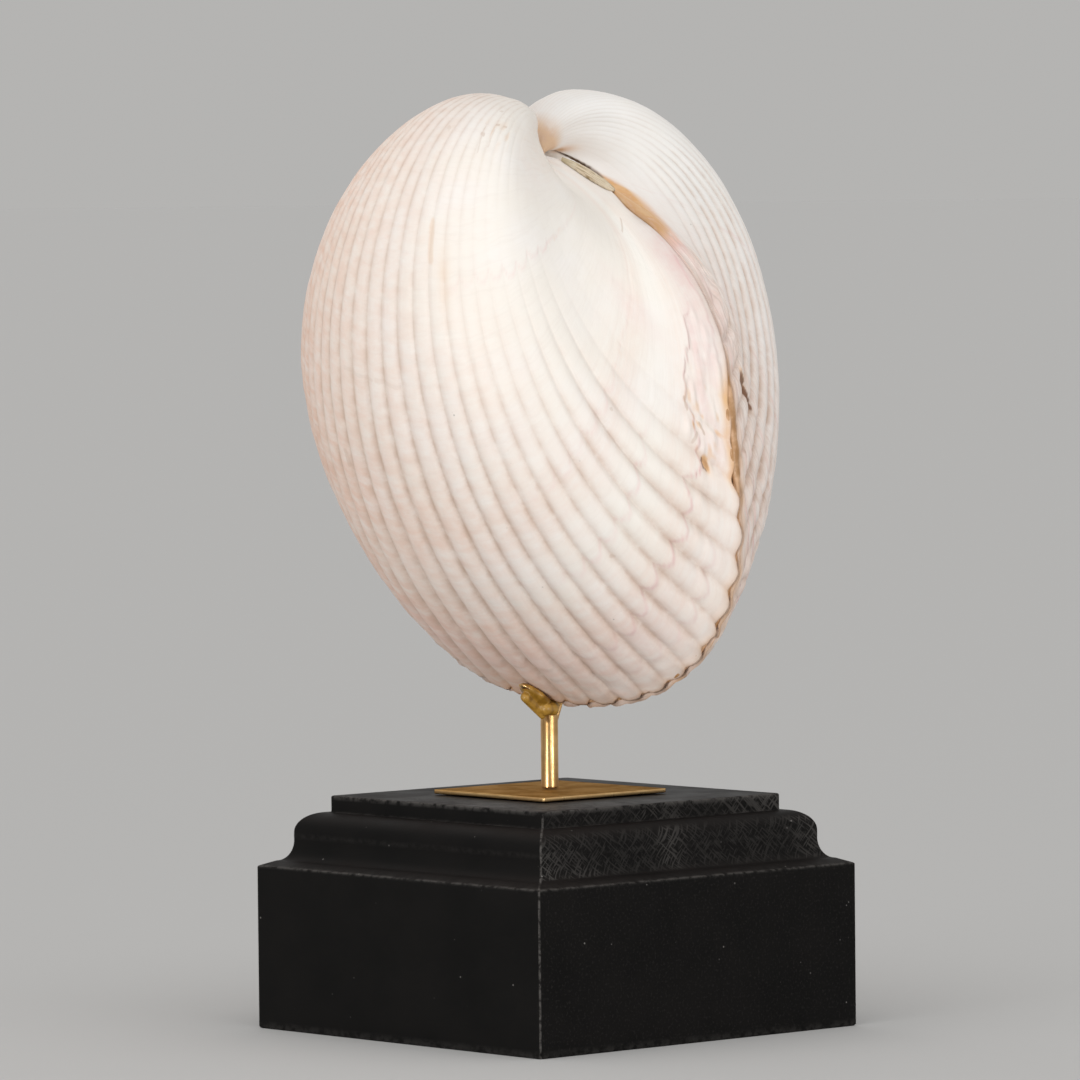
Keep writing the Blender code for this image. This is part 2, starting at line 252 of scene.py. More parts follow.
def shell_normals(angle, turn):
    """Outward directions of the shell without its ribs."""
    form = shell_point(angle, turn)
    normal = np.cross(np.gradient(form, axis=0), np.gradient(form, axis=1))
    return normal / np.maximum(np.linalg.norm(normal, axis=-1, keepdims=True), 1e-9)


def rib_grooves(offset):
    """Angles of the grooves, with ribs of even pitch along the margin."""
    angle = np.linspace(-math.pi, math.pi, 3601)
    along, _, height = shell_point(angle, 0 * angle).T
    step = np.hypot(np.diff(along), np.diff(height))
    middle = np.degrees((angle[1:] + angle[:-1]) / 2)
    narrow = 1 - RIB_NARROWING * bump(middle, NARROW_AT, NARROW_SPAN)
    phase = np.concatenate([[0], np.cumsum(step / (RIB_PITCH * narrow))])
    phase -= np.interp(0, angle, phase)
    first = math.ceil(np.interp(math.radians(RIBS_FROM), angle, phase))
    last = math.floor(np.interp(math.radians(RIBS_TO), angle, phase))
    return np.interp(np.arange(first, last + 1) + offset, phase, angle)


def valve_columns(grooves):
    """Angle of each column, its place across its rib (0 to 1) and the rib's number."""
    ribbed = grooves[:-1, None] + np.diff(grooves)[:, None] * RIB_COLUMNS
    ribs, columns = ribbed.shape
    rest = np.arange(SMOOTH_COLUMNS)
    span = grooves[0] + 2 * math.pi - grooves[-1]
    angles = [ribbed.ravel(), grooves[-1] + span * rest / SMOOTH_COLUMNS]
    across = [np.tile(RIB_COLUMNS, ribs), np.where(rest, 0.5, 0.0)]
    numbers = [np.repeat(np.arange(ribs), columns), len(grooves) + rest // 6]
    return np.concatenate(angles), np.concatenate(across), np.concatenate(numbers)


def valve_turns():
    """Turn of each row, close together at the margin, and its distance from there (mm)."""
    fine = np.linspace(0, COIL_END, 6000)
    steps = np.diff(fine) * COIL_RADIUS * growth_scale((fine[1:] + fine[:-1]) / 2, GROWTH)
    way = np.concatenate([[0], np.cumsum(steps)])
    near = np.arange(FINE_ROWS) * FINE_STEP
    places = np.concatenate([near, np.arange(near[-1] + ROW_STEP, way[-1], ROW_STEP)])
    return np.interp(places, way, fine), places


# ---- valves ----
# Below, D is the angle in degrees, T the turn, W the distance from the margin (mm), U the place across a
# rib and N its number, all as grids with rows down the coil and columns round the margin.
def build_valve(name, finish):
    """One valve's outside and inside as one closed mesh with the masks that its material reads."""
    side, noise = SIDES[name], Noise(SEEDS[name])
    grooves = rib_grooves(RIB_OFFSETS[name])
    angle, across, number = valve_columns(grooves)
    turn, way = valve_turns()
    degrees = np.degrees(angle)
    wrapped = (degrees + 180) % 360 - 180
    A, T = np.meshgrid(angle, turn)
    D, W = np.meshgrid(wrapped, way)
    U, N = np.meshgrid(across, turn)[0], np.meshgrid(number, turn)[0]
    ribbed = (degrees >= np.degrees(grooves[0])) & (degrees <= np.degrees(grooves[-1]) + 0.01)
    ribs = np.interp(wrapped, *RIB_FADE) * rib_strength(name, D, T, W)
    relief, rough, edge = valve_relief(name, noise, A, D, W, U, growth_scale(T, GROWTH))
    masks = valve_masks(name, noise, D, W, U, T, ribs * ribbed, rough, edge)
    lifted = np.where(ribbed, rib_lift(noise, W, U, N) * ribs, 0.0) + margin_lift(name, D, W)
    points = shell_point(A, T, lifted, margin_shift(name, noise, wrapped, across, W))
    points[..., 1] = points[..., 1] * OUTWARD_SHARE + SEAM_GAP
    points += shell_normals(A, T) * relief[..., None]
    hollow = np.stack([shell_point(angle, inner_turn, -WALL / growth_scale(inner_turn, GROWTH))
                       for inner_turn in np.linspace(0, HOLLOW_END, HOLLOW_ROWS)])
    hollow[..., 1] += SEAM_GAP
    tips = [points[-1].mean(axis=0), hollow[-1].mean(axis=0)]
    shape = np.concatenate([points.reshape(-1, 3), hollow.reshape(-1, 3), tips])
    shape[:, 1] *= side
    mesh = mesh_of(f"{name}_valve_ribbed", to_frame(shape), valve_faces(*T.shape))
    for key, values in masks.items():
        inside = np.full(len(shape) - values.size, 0.5 if key == "crest" else 0.0)
        put_attribute(mesh, key, np.concatenate([values.reshape(-1), inside]))
    add_piece(f"{name}_valve_ribbed", mesh, finish, f"{name}_valve")


def valve_faces(rows, columns):
    """Quads of the outside, of the hollow and of the rim between them, and a fan over each tip."""
    tip = (rows + HOLLOW_ROWS) * columns
    grid = np.arange(tip).reshape(-1, columns)
    outer, inner = grid[:rows], grid[rows:]
    faces = quads_between(outer[:-1], outer[1:]) + quads_between(inner[:-1], inner[1:])
    faces += quads_between(outer[0], inner[0])
    for n, row in enumerate((outer[-1], inner[-1])):
        faces += [(a, b, tip + n) for a, b in zip(row.tolist(), np.roll(row, -1).tolist())]
    return faces


def rib_strength(name, D, T, W):
    """How much of the ribs is left: 1 where they are fresh, less on the umbo and on the hind slope."""
    at_margin = 0.8 - 0.35 * smooth(20, 50, D)
    near_margin = at_margin + (1 - at_margin) * smooth(0, 9, W)
    if name == "left":
        umbo = 1 - 0.93 * bump(D, 62, 34) * bump(T, 1.22, 0.55)
        slope = 1 - 0.93 * smooth(80, 110, D + 0.25 * W)
        return near_margin * umbo * slope * (1 - 0.4 * smooth(50, 100, W))
    hinge = (1 - smooth(117, 133, D)) * (1 - 0.92 * smooth(1.2, 1.95, T))
    beside_seam = within(D, 12, 30, 72, 90) * bump(W, 0, 16)
    return near_margin * (0.12 + 0.88 * hinge) * (1 + 0.7 * smooth(50, 75, D)) * (1 - 0.75 * beside_seam)


def rib_lift(noise, W, U, N):
    """Height of fresh ribs (mm): 0 on the crest, a low crown between round and slightly winding grooves."""
    wander = 0.16 * noise(N * 1.9 + 20, W / 17) * smooth(0, 10, W)
    side = np.abs(2 * np.clip(U + wander * U * (1 - U) * 1.6, 0, 1) - 1)
    profile = CROWN * side ** 2 + (1 - CROWN) * smooth(0.4, 1.03, side) / smooth(0.4, 1.03, 1.0)
    return -profile * RIB_HEIGHT * RIB_SHARE * (1 + 0.12 * noise(N * 3.7, W / 26))


def margin_lift(name, D, W):
    """What the ribs stand on (mm): a drop under the solids' crests, small chips and the full right lip."""
    chipped = smooth(0.1, 0.9, CHIPS(D / 1.5, 8.8)) * within(D, -90, -40, 60, 80)
    lifted = -CREST_DROP - 0.6 * chipped * np.exp(-W / 1.4)
    if name == "right":
        lifted = lifted + 0.7 * within(D, -5, 20, 58, 80) * bump(W, 0, 16)
    return lifted


def seam_lap(degrees):
    """How far the right margin laps over the left one: behind the beaks and low on the hind side."""
    return SEAM_LAP * bump(degrees, *LAP_AT) + LOW_LAP * within(degrees, 2, 24, 52, 74)


def margin_shift(name, noise, degrees, across, W):
    """Sideways bend of a margin (mm): the ribs of one valve reach into the grooves of the other."""
    wave = SEAM_WAVE * np.interp(degrees, *WAVE_FADE)
    lobes = 0.16 * noise(degrees / 2.6, 5.5) * SIDES[name] - wave * np.cos(2 * math.pi * (across - 0.5))
    if name == "left":
        lobes += CHIP * within(degrees, 78, 86, 102, 114)
    else:
        lobes += HINGE_GAP * smooth(158, 165, degrees)
    return lobes * np.exp(-W / 4.5) - SIDES[name] * seam_lap(degrees) * np.exp(-W / 9)


def halt_line(D):
    """Distance from the margin of the last halt of growth, by angle, on the left valve."""
    return np.interp(D, (-40, 15, 55, 72, 77, 84, 90, 94, 97, 103, 112, 120, 129, 140),
                     (12, 12, 19, 17, 19, 14, 17, 17.2, 20.8, 21, 17.2, 14.7, 6.7, 3))


def growth_halts(name, noise, D, W, U):
    """Steps where growth halted (mm), and the lobed edges that run along them."""
    if name == "left":
        halts = ((halt_line(D), 0.2 + 0.16 * smooth(76, 90, D), within(D, -10, 15, 116, 130)),
                 (31 + 0.05 * D, 0.11, within(D, 0, 20, 70, 90)), (7.5, 0.1, within(D, -60, -20, 60, 80)),
                 (2.3, 0.16, within(D, 106, 114, 150, 158)), (52, 0.07, 1), (95, 0.08, 1))
    else:
        halts = ((14, 0.2, within(D, -10, 15, 80, 100)), (5, 0.2, smooth(20, 50, D)),
                 (32, 0.12, 1 - smooth(90, 110, D)), (52, 0.1, 1 - smooth(90, 110, D)), (95, 0.08, 1))
    lobe = 2.2 * (2 * U - 1) ** 2 * (1 - smooth(82, 92, D))
    far_back = within(D, -140, -120, 150, 165)
    fine = 0.35 + 0.8 * smooth(84, 92, D)
    stop, edge = np.zeros_like(W), np.zeros_like(W)
    for order, (place, step, where) in enumerate(halts):
        ragged = 1.1 * noise(D / 9, order * 3.1) + fine * noise(D / 1.9, order * 3.1 + 7)
        past = W - (place + lobe + ragged)
        fading = np.where(past > 0, np.exp(-past / 6), 0) * smooth(-0.6, 0.35, past)
        stop += step * where * far_back * fading
        edge += where * far_back * bump(past, 0.15, 0.55) * step / 0.2
    return stop, edge


def left_folds(noise, D, W):
    """Relief of the crumbled part of the left valve (mm), and where it is."""
    rough = within(D, 83, 90, 112, 122) * smooth(2, 6, W) * (1 - smooth(-1.5, 1, W - halt_line(D)))
    crumbs = noise(W / 1.7 + 1.3 * noise(D / 2.6, 3.1), D / 3.2) + 0.9 * noise(W / 2.9, D / 2.2)
    folds = 0.17 * rough * crumbs
    for angle, place, height, tall, wide in LUMPS:
        folds += height * bump(D, angle, tall) * bump(W, place, wide)
    folds -= 1.1 * bump(D, PIT[0], 1.15) * bump(W, PIT[1], 1.35)
    return folds, rough


def right_folds(noise, D, W):
    """Relief of the folded hind margin of the right valve, with its furrow and its cracks (mm)."""
    folded = within(D, 20, 60, 138, 152) * bump(W, 0, 30)
    crumpled = noise(W / 2.5 + 1.3 * noise(D / 4.6, W / 7), D / 9) + 0.3 * noise(W / 1.1, D / 5)
    furrow = np.interp(D, (98, 104, 112, 117, 121, 125, 130, 134, 138.5, 142, 146),
                       (20, 13, 8.5, 6, 6, 8, 13.9, 16.8, 17.2, 14.5, 12))
    folds = 0.75 * folded * crumpled - 0.6 * bump(W, furrow, 2.2) * within(D, 98, 104, 141, 150)
    beside = D - side_crack(W)
    calm = bump(beside, 0, 4) * bump(W, 19, 9)
    crack = (0.3 * bump(beside, 2.4, 1.3) - 0.5 * bump(beside, 0, 1.4)) * bump(W, 19, 7)
    return folds * (1 - calm) + crack - 0.8 * hinge_gap_and_shade(D, W)


def side_crack(W):
    """Angle of the crack on the right valve, at each distance from the margin."""
    return np.interp(W, (15.1, 20.2, 22.3, 29.2), (104.0, 98.8, 95.3, 89.4))


def hinge_gap_and_shade(D, W):
    """The gap between the ligament and the right umbo: a recess, and the band where its shade is painted
    dark.
    """
    line = np.interp(W, (82, 90, 98, 109, 118, 131, 143, 152),
                     (159, 158, 158, 158.6, 160.4, 162.4, 164.4, 162.5))
    return within(D - line, -0.6, 0.5, 2.6, 4.2) * within(W, 84, 93, 153, 158)


def hinge_wedge(D, W):
    """The amber wedge on the right valve between the ligament and the closed hind margin."""
    line = np.interp(W, (0, 9, 30, 52, 63, 72, 80, 85, 95, 101),
                     (147, 147.5, 146, 145, 146, 147.3, 149.5, 153, 156, 160))
    return smooth(-8, 3.5, D - line) * (1 - smooth(86, 106, W)) * (1 - smooth(168, 174, D))


def valve_relief(name, noise, A, D, W, U, size):
    """Height of the fine relief (mm), and where the shell is crumbled and where a lobed edge runs."""
    stop, edge = growth_halts(name, noise, D, W, U)
    if name == "left":
        folds, rough = left_folds(noise, D, W)
    else:
        folds, rough = right_folds(noise, D, W), np.zeros_like(W)
    ripple = noise(W / 2.1 + 0.8 * noise(D / 5, W / 9), D / 7)
    coarse = noise(W / 6 + 0.5 * noise(D / 9, W / 14), D / 16)
    low = bump(W, 0, 34) * (1 - smooth(88, 108, D))
    # close to the coiling axis a row is narrow, so its relief is low
    reach = np.hypot(margin_radius(A) * np.cos(A) + AXIS_HEIGHT, AXIS_SIDE) / COIL_RADIUS
    lines = (stop + (0.03 + 0.075 * low) * ripple + 0.08 * coarse) * smooth(0.04, 0.4, reach)
    relief = lines + folds + 0.18 * noise(D / 21, W / 30) - 0.03
    return relief * smooth(0, 2.5, W) * (0.25 + 0.75 * smooth(0, 0.2, size)), rough, edge


# ---- where the shell is coloured ----
def tan_and_shade_mask(name, D, W):
    """Tan, stronger near the margin and low down, in bands of growth; the rise low down and towards the fore
    end is partly the shell's own tint and partly painted shade.
    """
    # warmer and darker low down and towards the fore end: partly the shell's own tint, partly painted shade
    low_side = np.interp(D, (-60, -30, 0, 15, 30, 60), (0.8, 0.58, 0.36, 0.27, 0.13, 0.03))
    low_edge = np.interp(D, (-60, 0, 30, 60, 90, 120, 150), (0.38, 0.46, 0.38, 0.22, 0.22, 0.12, 0.1))
    tan_and_shade = low_side + low_edge * bump(W, 0, 52)
    tan_and_shade += 0.13 * bump(W, 50, 7) - 0.13 * bump(W, 35, 7) + 0.08 * bump(W, 19, 6)
    if name == "left":
        tan_and_shade += 0.14 * smooth(105, 125, W) * smooth(60, 90, D) + 0.12 * bump(W, 75, 16) * bump(D, 40, 18)
    else:
        old = smooth(80, 125, W)
        young = 0.1 * (1 - old) + (0.42 + 0.05 * np.exp(-W / 7)) * bump(W, 0, 62)
        tan_and_shade = np.maximum(tan_and_shade * (1 - 0.7 * old), young)
    return (tan_and_shade + 0.3 * np.exp(-W / 1.5)) * smooth(-170, -130, D)


def valve_masks(name, noise, D, W, U, T, ribs, rough, edge):
    """Soft masks for the material: where the shell is tan, rosy, stained or dusty, and where shade is painted
    low down, in the grooves and beside the ligament.
    """
    groove = np.abs(2 * U - 1) ** 3 * ribs * (1.5 if name == "right" else 1.1)
    ragged = 1 + 0.35 * noise(D / 4, W / 4)
    seam = np.exp(-W / 0.9)
    rosy = 0.36 * bump(D, 124, 13) * bump(W, 6, 8) + 0.25 * bump(D, 110, 5) * bump(W, 48, 18)
    rosy += 0.7 * edge * smooth(20, 60, D) * (1 - 0.5 * smooth(80, 100, D)) * ragged
    rosy += 0.25 * rough * smooth(-0.2, 0.7, noise(D / 2.2, W / 6))
    rosy += 0.22 * bump(W, 14, 9) * (1 - smooth(40, 75, D))
    lip = 0.45 * seam if name == "left" else 0.5 * smooth(-10, 40, D) * np.exp(-W / 2.4)
    amber = lip * within(D, -40, 10, 108, 120) * (0.8 + 0.5 * noise(D / 3, 9.2))
    # a darker brown line along the seam; on the right valve this mask also holds painted shade in the hinge
    # gap
    brown_and_shade = 0.28 * seam * within(D, -60, 0, 158, 164) * (1 - 0.85 * bump(D, 140, 18))
    brown_and_shade += 0.35 * bump(D, 153, 6) * np.exp(-W / 4) * (0.8 + 0.5 * noise(D / 2, 3.3))
    if name == "left":
        lined = np.full_like(W, 0.12)
        rosy += 0.4 * bump(W, 13.4, 2.2) * within(D, 95, 102, 116, 126)
        rosy += 0.55 * bump(D, 139, 8) * bump(W, 0, 14)
        # on the crumbled part and round its pit
        amber += 0.6 * bump(W, 1.5, 2.4) * within(D, 82, 88, 104, 112) * ragged
        amber += 0.5 * bump(D, PIT[0], 1.4) * bump(W, PIT[1], 2.2)
        amber += 0.6 * rough * smooth(0.35, 0.8, noise(D / 1.3, W / 2.2)) * bump(D, 93, 9)
        amber += 0.55 * edge * bump(D, 93, 6) * smooth(-0.2, 0.6, noise(D / 1.2, 4.4))
        # on the umbo and at the lowest point
        amber += 0.3 * bump(T, 1.9, 0.11) * bump(D, 50, 20) * smooth(0.15, 0.6, noise(D / 2.4, T * 9))
        amber += 0.1 * bump(D, 15, 5) * bump(T, 1.87, 0.08) + 0.2 * bump(D, 33, 2.5) * bump(T, 1.12, 0.1)
        amber += 0.5 * bump(D, 0, 9) * np.exp(-W / 4)
    else:
        lined = bump(W, 0, 48) * smooth(30, 60, D)
        rosy += 1.2 * bump(D, 144, 5) * np.exp(-W / 16) + 0.4 * bump(D, 143, 3) * bump(W, 40, 25)
        # beside the ligament and on the beak
        amber += hinge_wedge(D, W) * (1.05 - 0.3 * smooth(74, 92, W) + 0.3 * noise(D / 3, W / 9))
        amber += 0.65 * smooth(3.25, 3.8, T) + 0.9 * bump(D, 155, 16) * bump(T, 2.85, 0.4)
        # painted shade: a dark band in the gap beside the ligament and in the cavity by the beak
        brown_and_shade += 1.3 * hinge_gap_and_shade(D, W) + 0.3 * bump(D, 159, 9) * bump(T, 2.95, 0.35)
    masks = {"crest": 1 - groove, "amber": amber, "tan_and_shade": tan_and_shade_mask(name, D, W), "rosy": rosy, "brown_and_shade": brown_and_shade,
             "lined": lined}
    return {**{key: np.clip(values, 0, 1) for key, values in masks.items()}, "grown": W, "around": D}


# ---- brass ----
ROD_BOX, PLATE_BOX, PLINTH_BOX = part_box("support_rod"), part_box("brass_plate"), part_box("wooden_plinth")
ROD_X = (PLATE_BOX[0].x + PLATE_BOX[1].x) / 2 / MM
ROD_Y = (PLATE_BOX[0].y + PLATE_BOX[1].y) / 2 / MM
ROD_RADIUS, ROD_SIDES = 2.05, 64
ROD_TOP, TOP_CHAMFER, FOOT_CHAMFER = 75.2, 0.4, 0.25
PRONG_ROOT, PRONG_RISE = 71.2, 1.5  # where a prong leaves the rod, and its first upright stretch
PRONG_TURNS = (0.016, 0.062)  # where it lies along the valve
PRONG_WIDTHS = (2.8, 4.4, 2.6)
PRONG_THICKNESSES = (1.7, 1.4, 0.7)
PRONG_GAP = 0.35  # between a prong and the shell
PLATE_CORNER, PLATE_RIM = 0.4, 0.18  # roundings of the plate


def blend(values, share):
    return float(np.interp(share, (0, 0.5, 1), values))


def prong_rings(side, swell=0.0, reach=PRONG_TURNS[1], inset=0.0, blunt=0.85):
    """Sections of one prong: out of the rod and up under one valve.

    For the glue on it, swell makes it thicker, inset moves it towards the shell and it tapers from
    the share blunt of its length."""
    root = shell_pose().inverted() @ (Vector((ROD_X, ROD_Y, PRONG_ROOT)) * MM) / MM
    start = side * root.y + ROD_RADIUS / 2
    route = [(root.x, start, root.z), (root.x, start + 0.15, root.z + PRONG_RISE)]
    for share in np.linspace(0, 1, 17):
        turn = PRONG_TURNS[0] + (reach - PRONG_TURNS[0]) * share
        angle = np.array(math.asin((root.x - 1.5 * share) / MARGIN_RADII[0]))
        point = shell_point(angle, turn)
        _, aside, ahead = shell_point(angle, turn + 0.01) - point
        gap = PRONG_GAP + blend(PRONG_THICKNESSES, share) / 2 - inset
        gap /= math.hypot(aside, ahead)
        route.append((point[0], point[1] + ahead * gap, point[2] - aside * gap))
    rings = []
    turned = circle(24)
    for n, (along, outward, height) in enumerate(route):
        before, after = route[max(n - 1, 0)], route[min(n + 1, len(route) - 1)]
        slope = math.atan2(after[1] - before[1], after[2] - before[2])
        share = n / (len(route) - 1)
        tip = max(0.0, (share - blunt) / (1 - blunt))
        end = math.sqrt(max(0.0, 1 - tip ** 2)) * 0.97 + 0.03
        wide = (blend(PRONG_WIDTHS, share) / 2 + swell) * end
        off = (blend(PRONG_THICKNESSES, share) / 2 + swell * 0.7) * end * np.sin(turned)
        rings.append(shell_ring(along + wide * np.cos(turned), side * (outward + off * math.cos(slope)),
                                height - off * math.sin(slope)))
    return rings


def build_rod(finish):
    """The rod, with both prongs joined to it by a union."""
    foot = ROD_BOX[0].z / MM
    turned = circle(ROD_SIDES)
    unit = np.stack([np.cos(turned), np.sin(turned), 0 * turned], axis=-1)
    outline = ((FOOT_CHAMFER, foot), (0, foot + FOOT_CHAMFER),
               (0, ROD_TOP - TOP_CHAMFER), (TOP_CHAMFER, ROD_TOP))
    rings = [((ROD_X, ROD_Y, height) + (ROD_RADIUS - inset) * unit) * MM for inset, height in outline]
    mesh = mesh_of("rod_and_prongs", *loft(rings))
    rod = add_piece("rod_and_prongs", mesh, finish, "support_rod")
    for name, side in SIDES.items():
        prong_mesh = mesh_of(f"{name}_prong", *loft(prong_rings(side)))
        prong_mesh.materials.append(finish)
        prong = link(f"{name}_prong", prong_mesh)
        join = rod.modifiers.new(name, "BOOLEAN")
        join.operation = "UNION"
        join.solver = "EXACT"
        join.object = prong
        joined = baked(rod)
        rod.modifiers.clear()
        rod.data = joined
        bpy.data.objects.remove(prong)
    rod.data.shade_smooth()
    rod.data.set_sharp_from_angle(angle=math.radians(38))


def build_plate(finish):
    """The square plate with softened edges."""
    low, high = PLATE_BOX
    work = bmesh.new()
    bmesh.ops.create_cube(work, size=1)
    bmesh.ops.scale(work, verts=work.verts, vec=high - low)
    bmesh.ops.translate(work, verts=work.verts, vec=(low + high) / 2)
    for upright, offset, segments in ((True, PLATE_CORNER, 4), (False, PLATE_RIM, 3)):
        chosen = [edge for edge in work.edges
                  if upright != (abs(edge.verts[0].co.z - edge.verts[1].co.z) < 1e-6)]
        bmesh.ops.bevel(work, geom=chosen, offset=offset * MM, segments=segments, affect="EDGES", profile=0.5)
    mesh = bpy.data.meshes.new("base_plate")
    work.to_mesh(mesh)
    work.free()
    mesh.shade_smooth()
    mesh.set_sharp_from_angle(angle=math.radians(50))
    add_piece("base_plate", mesh, finish, "brass_plate")


# ---- ligament and glue ----
LIGAMENT_FROM, LIGAMENT_TO = 178.5, 162.5
LIGAMENT_REACH = (-0.09, 0.03)  # turns on the left and on the right valve
LIGAMENT_GAP, LIGAMENT_RISE = -0.25, 1.0
STRIP_SIDES, STRIP_STEPS = 36, 90
SEAM_FROM, SEAM_TO = -40, 158  # angles where the glue in the seam ends
SEAM_SIDES, SEAM_STEPS = 14, 320
SEAM_DEPTH = 0.8  # half the bead's depth
GLUE_COVERS = ((-1, 0.9, 0.06), (1, 0.3, 0.05))  # side, how much thicker than its prong, and end turn
# lumps in the fork, from the rod's top: where and how large
GLUE_LUMPS = (((0, 0, 0.4), (2.2, 2.3, 1.5)), ((-0.8, -1.8, 1.5), (2.2, 2.6, 1.7)),
              ((0, 1.2, 1.3), (1.9, 2.2, 1.4)), ((-0.1, -1.7, -0.6), (1.9, 1.2, 1.9)),
              ((1.3, -0.3, 0.1), (1.7, 1.9, 1.8)), ((1.4, -2.2, 0.2), (1.7, 1.7, 1.7)))
GLUE_WEB = ((0, -2.0, -1.1), (0, -7.4, 3.1))  # straight lower edge, from the rod to the left valve
WEB_LUMPS, WEB_SIZE = 16, (1.3, 1.2, 1.2)
GLUE_DETAIL = 0.16  # size of the remesh's cells


def build_ligament(finish):
    """The dried strip in the groove behind the beaks, with an uneven, fibrous top."""
    noise = Noise(5)
    left, right = LIGAMENT_REACH
    turned = circle(STRIP_SIDES)
    place = (left + right) / 2 + (right - left) / 2 * np.cos(turned)
    top = np.maximum(0, np.sin(turned)) ** 0.6
    down = np.linspace(0, 1, STRIP_STEPS + 1)
    rings = []
    for share in down:
        angle = np.array(math.radians(LIGAMENT_FROM + (LIGAMENT_TO - LIGAMENT_FROM) * share))
        reach = 0.18 + 0.82 * abs(math.sin(math.pi * share)) ** 0.8
        fibre = 0.22 * noise(place * 130 + 3, share * 2.4) + 0.12 * noise(place * 340, share * 6)
        raised = LIGAMENT_GAP + (LIGAMENT_RISE - LIGAMENT_GAP + fibre) * top * (0.5 + 0.5 * reach)
        along, outward, height = shell_point(angle, np.abs(place) * reach, raised).T
        rings.append(shell_ring(along, np.copysign(outward, place), height))
    mesh = mesh_of("ligament_strip", *loft(rings))
    put_attribute(mesh, "across", np.tile(np.cos(turned), len(down)))
    put_attribute(mesh, "down", np.repeat(down, STRIP_SIDES))
    add_piece("ligament_strip", mesh, finish, "ligament")


def build_seam_glue(finish):
    """Old glue in the seam: a bead where the hind seam is open, and deeper down elsewhere."""
    noise = Noise(23)
    turned = circle(SEAM_SIDES)
    off = SEAM_DEPTH * np.sin(turned)
    rings = []
    for degrees in np.linspace(SEAM_FROM, SEAM_TO, SEAM_STEPS + 1):
        angle = np.array(math.radians(degrees))
        open_part = within(degrees, 78, 91, 102, 113)
        lobed = 1 - smooth(72, 84, degrees)
        wide = (0.3 + 0.45 * lobed + open_part) * (1 + 0.3 * noise(degrees / 2.1, 1.5))
        sink = 1.6 - 0.7 * open_part + 0.3 * lobed + 0.4 * noise(degrees / 3.0, 4.5)
        along, _, height = shell_point(angle, 0, -sink)
        shift = -0.8 * open_part - seam_lap(degrees)
        rings.append(shell_ring(along + off * math.sin(angle), shift + wide * np.cos(turned),
                                height - off * math.cos(angle)))
    add_piece("seam_glue", mesh_of("seam_glue", *loft(rings)), finish)


def build_fork_glue(finish):
    """Old amber glue that fills the fork and covers the prongs: lumps melted into one by a fine remesh."""
    work = bmesh.new()
    for side, swell, reach in GLUE_COVERS:
        work.from_mesh(mesh_of("glue_cover", *loft(prong_rings(side, swell, reach, 0.3, 0.6)[2:])))
    start, end = (Vector(point) for point in GLUE_WEB)
    web = tuple((start.lerp(end, i / (WEB_LUMPS - 1)), WEB_SIZE) for i in range(WEB_LUMPS))
    for offset, size in GLUE_LUMPS + web:
        place = Matrix.Translation((Vector((ROD_X, ROD_Y, ROD_TOP)) + Vector(offset)) * MM)
        bmesh.ops.create_uvsphere(work, u_segments=32, v_segments=20, radius=1,
                                  matrix=place @ Matrix.Diagonal((*(Vector(size) * MM), 1)))
    bmesh.ops.recalc_face_normals(work, faces=work.faces)
    lumps = bpy.data.meshes.new("glue_lumps")
    work.to_mesh(lumps)
    work.free()
    melted = link("glue_lumps", lumps)
    remesh = melted.modifiers.new("melt", "REMESH")
    remesh.mode = "VOXEL"
    remesh.voxel_size = GLUE_DETAIL * MM
    softened = melted.modifiers.new("soften", "SMOOTH")
    softened.iterations = 14
    mesh = baked(melted)
    mesh.name = "fork_glue"
    mesh.shade_smooth()
    bpy.data.objects.remove(melted)
    add_piece("fork_glue", mesh, finish)


# ---- plinth ----
PLINTH_HALF = PLINTH_BOX[1].x / MM
BLOCK_TOP = 38.6
LEDGE_HALF, LEDGE_TOP = 46.8, 39.7
WAIST_HALF, WAIST_TOP = 43.8, 44.6
OVOLO_START, OVOLO_HALF, OVOLO_TOP = 46.4, 38.2, 51.1
FILLET_HALF, PLINTH_TOP = 37.5, 55.0
CORNER = 0.45  # radius of the worn upright arrises
CORNER_STRIP = 0.6  # width of the faces in which an arris's wear fades


def quarter(start, end, bulge, steps):
    """A quarter round, bulging or hollow, from one half width and height to another, without wear."""
    points = []
    for turn in np.linspace(0, math.pi / 2, steps + 1):
        across, up = math.cos(turn), math.sin(turn)
        if not bulge:
            across, up = 1 - up, 1 - across
        points.append((end[0] + (start[0] - end[0]) * across, start[1] + (end[1] - start[1]) * up, 0))
    return points


def plinth_outline():
    """Half width, height and wear up the moulding; every crease has a small rounding."""
    return [(PLINTH_HALF - 0.4, 0, 0.3), (PLINTH_HALF, 0.4, 0.3), (PLINTH_HALF, 2.0, 0),
            (PLINTH_HALF, BLOCK_TOP - 0.75, 0), (PLINTH_HALF, BLOCK_TOP - 0.4, 0.2),
            (PLINTH_HALF - 0.1, BLOCK_TOP - 0.15, 0.7), (PLINTH_HALF - 0.35, BLOCK_TOP, 0.6),
            (PLINTH_HALF - 0.8, BLOCK_TOP + 0.18, 0.1), (LEDGE_HALF + 0.3, LEDGE_TOP - 0.1, 0),
            *quarter((LEDGE_HALF, LEDGE_TOP), (WAIST_HALF, WAIST_TOP), False, 14),
            (WAIST_HALF + 0.02, (WAIST_TOP + OVOLO_START) / 2, 0.1),
            *quarter((WAIST_HALF, OVOLO_START), (OVOLO_HALF, OVOLO_TOP), True, 18),
            (OVOLO_HALF - 0.1, OVOLO_TOP + 0.02, 0.8), (FILLET_HALF + 0.05, OVOLO_TOP + 0.05, 0.2),
            (FILLET_HALF, OVOLO_TOP + 0.5, 0), (FILLET_HALF, PLINTH_TOP - 1.2, 0),
            (FILLET_HALF, PLINTH_TOP - 0.35, 0.6), (FILLET_HALF - 0.12, PLINTH_TOP - 0.1, 1),
            (FILLET_HALF - 0.4, PLINTH_TOP, 0.7), (FILLET_HALF - 1.4, PLINTH_TOP, 0)]


